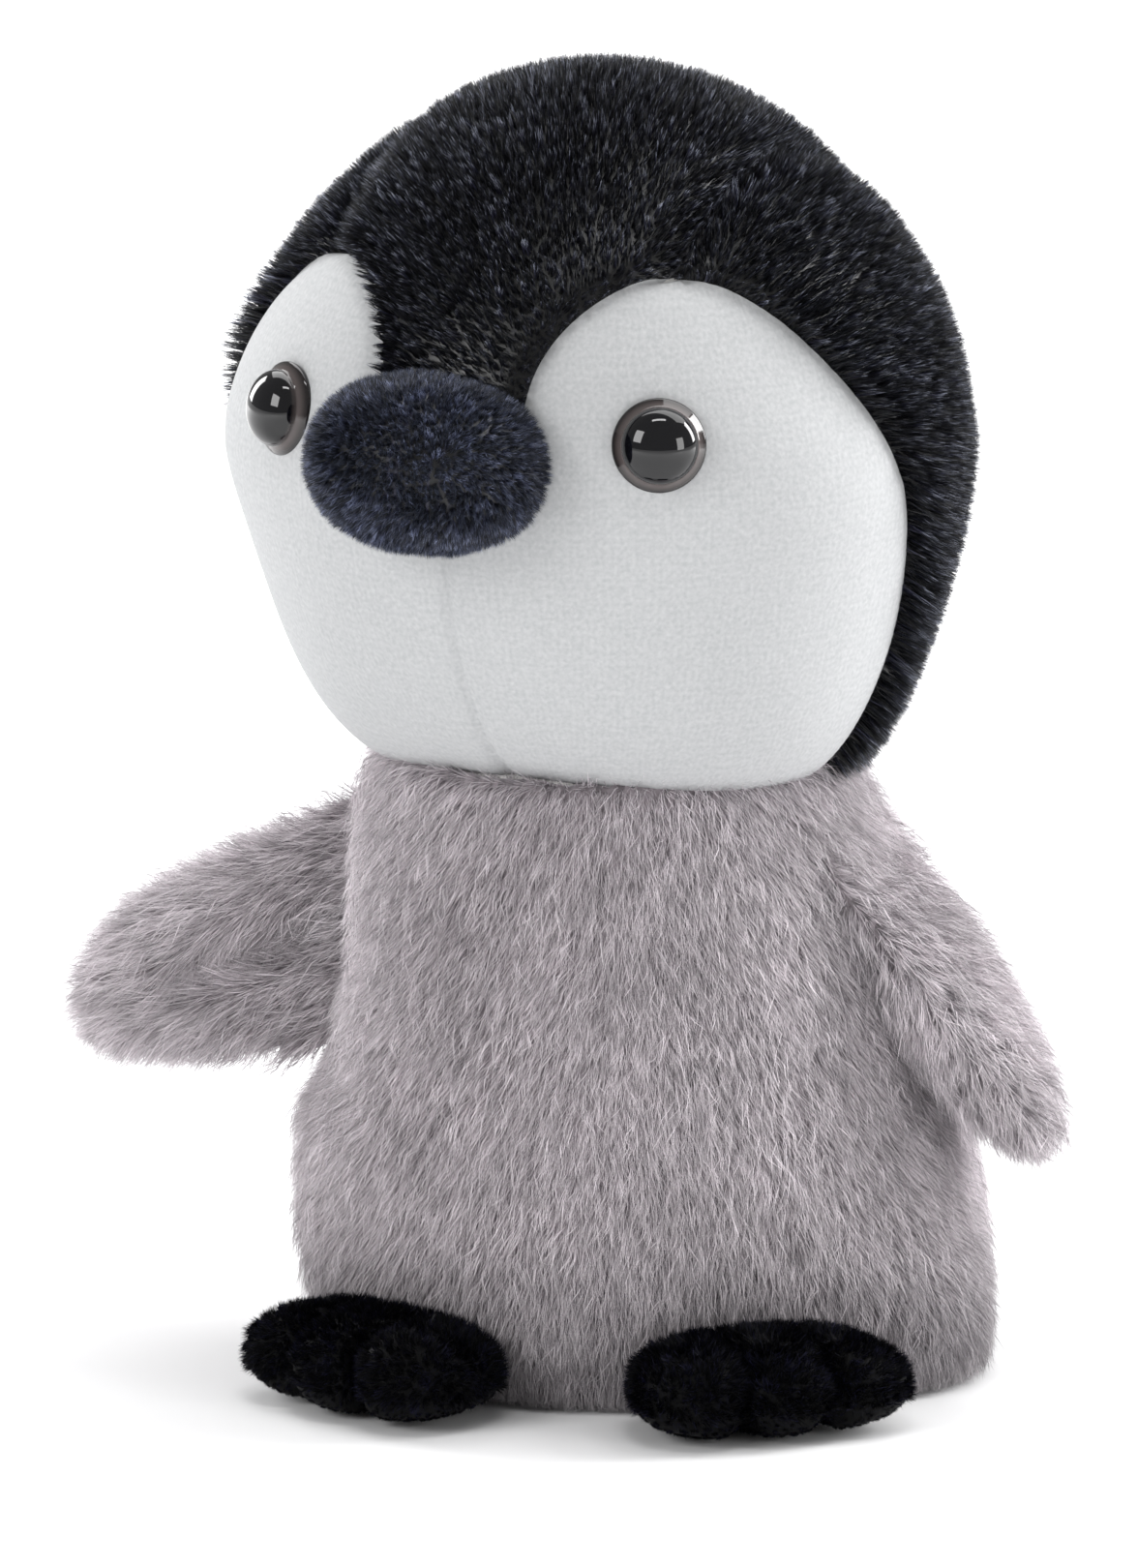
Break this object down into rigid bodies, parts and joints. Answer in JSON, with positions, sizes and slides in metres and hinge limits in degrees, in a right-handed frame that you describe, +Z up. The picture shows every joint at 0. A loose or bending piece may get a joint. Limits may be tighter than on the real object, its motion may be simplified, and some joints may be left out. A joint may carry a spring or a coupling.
{
  "type": "plush penguin",
  "caption": "Sitting stuffed penguin chick with a turning head, folding wings and feet, in long-pile and short-pile plush.",
  "frame": {"origin": "centre of the flat base the penguin sits on", "axes": "+Z up along the standing height; the body faces -Y; +X is the penguin's own left"},
  "size_m": [0.1239, 0.0978, 0.147],
  "materials": {
    "grey_plush": "long pile",
    "black_plush": "short pile",
    "beak_plush": "short pile",
    "white_velour": "velour",
    "wadding": "loose fibre",
    "pellet_cloth": "plain weave",
    "label_tape": "satin tape",
    "eye_plastic": "polished",
    "washer_plastic": "moulded"
  },
  "bodies": {
    "body": {"body_front": "grey_plush", "body_back": "grey_plush", "base_panel": "grey_plush", "body_filling": "wadding", "pellet_bag": "pellet_cloth", "care_label": "label_tape"},
    "head": {"head_filling": "wadding", "hood_crown": "black_plush", "hood_left": "black_plush", "hood_right": "black_plush", "face_left": "white_velour", "face_right": "white_velour", "beak_cover": "beak_plush", "beak_filling": "wadding", "eye_left": "eye_plastic", "eye_right": "eye_plastic", "eye_washer_left": "washer_plastic", "eye_washer_right": "washer_plastic"},
    "wing_left": {"wing_left_outer": "grey_plush", "wing_left_inner": "grey_plush", "wing_left_filling": "wadding"},
    "wing_right": {"wing_right_outer": "grey_plush", "wing_right_inner": "grey_plush", "wing_right_filling": "wadding"},
    "foot_left": {"foot_left_upper": "black_plush", "foot_left_sole": "black_plush", "foot_left_filling": "wadding"},
    "foot_right": {"foot_right_upper": "black_plush", "foot_right_sole": "black_plush", "foot_right_filling": "wadding"}
  },
  "joints": [
    {"name": "head_turn", "type": "hinge", "parent": "body", "child": "head", "pos_m": [-0.0037, -0.0063, 0.07], "axis": [0, 0, 1], "range_deg": [-25, 50]},
    {"name": "wing_left_lift", "type": "hinge", "parent": "body", "child": "wing_left", "pos_m": [0.0289, -0.004, 0.06], "axis": [0, -1, 0], "range_deg": [0, 75]},
    {"name": "wing_right_swing", "type": "hinge", "parent": "body", "child": "wing_right", "pos_m": [-0.035, -0.0029, 0.048], "axis": [0.2198, 0, 0.9755], "range_deg": [-25, 60]},
    {"name": "foot_left_fold", "type": "hinge", "parent": "body", "child": "foot_left", "pos_m": [0.02125, -0.03211, 0.0047], "axis": [-0.8339, -0.5519, 0], "range_deg": [0, 35]},
    {"name": "foot_right_fold", "type": "hinge", "parent": "body", "child": "foot_right", "pos_m": [-0.02125, -0.03211, 0.0047], "axis": [-0.8339, 0.5519, 0], "range_deg": [0, 35]}
  ]
}
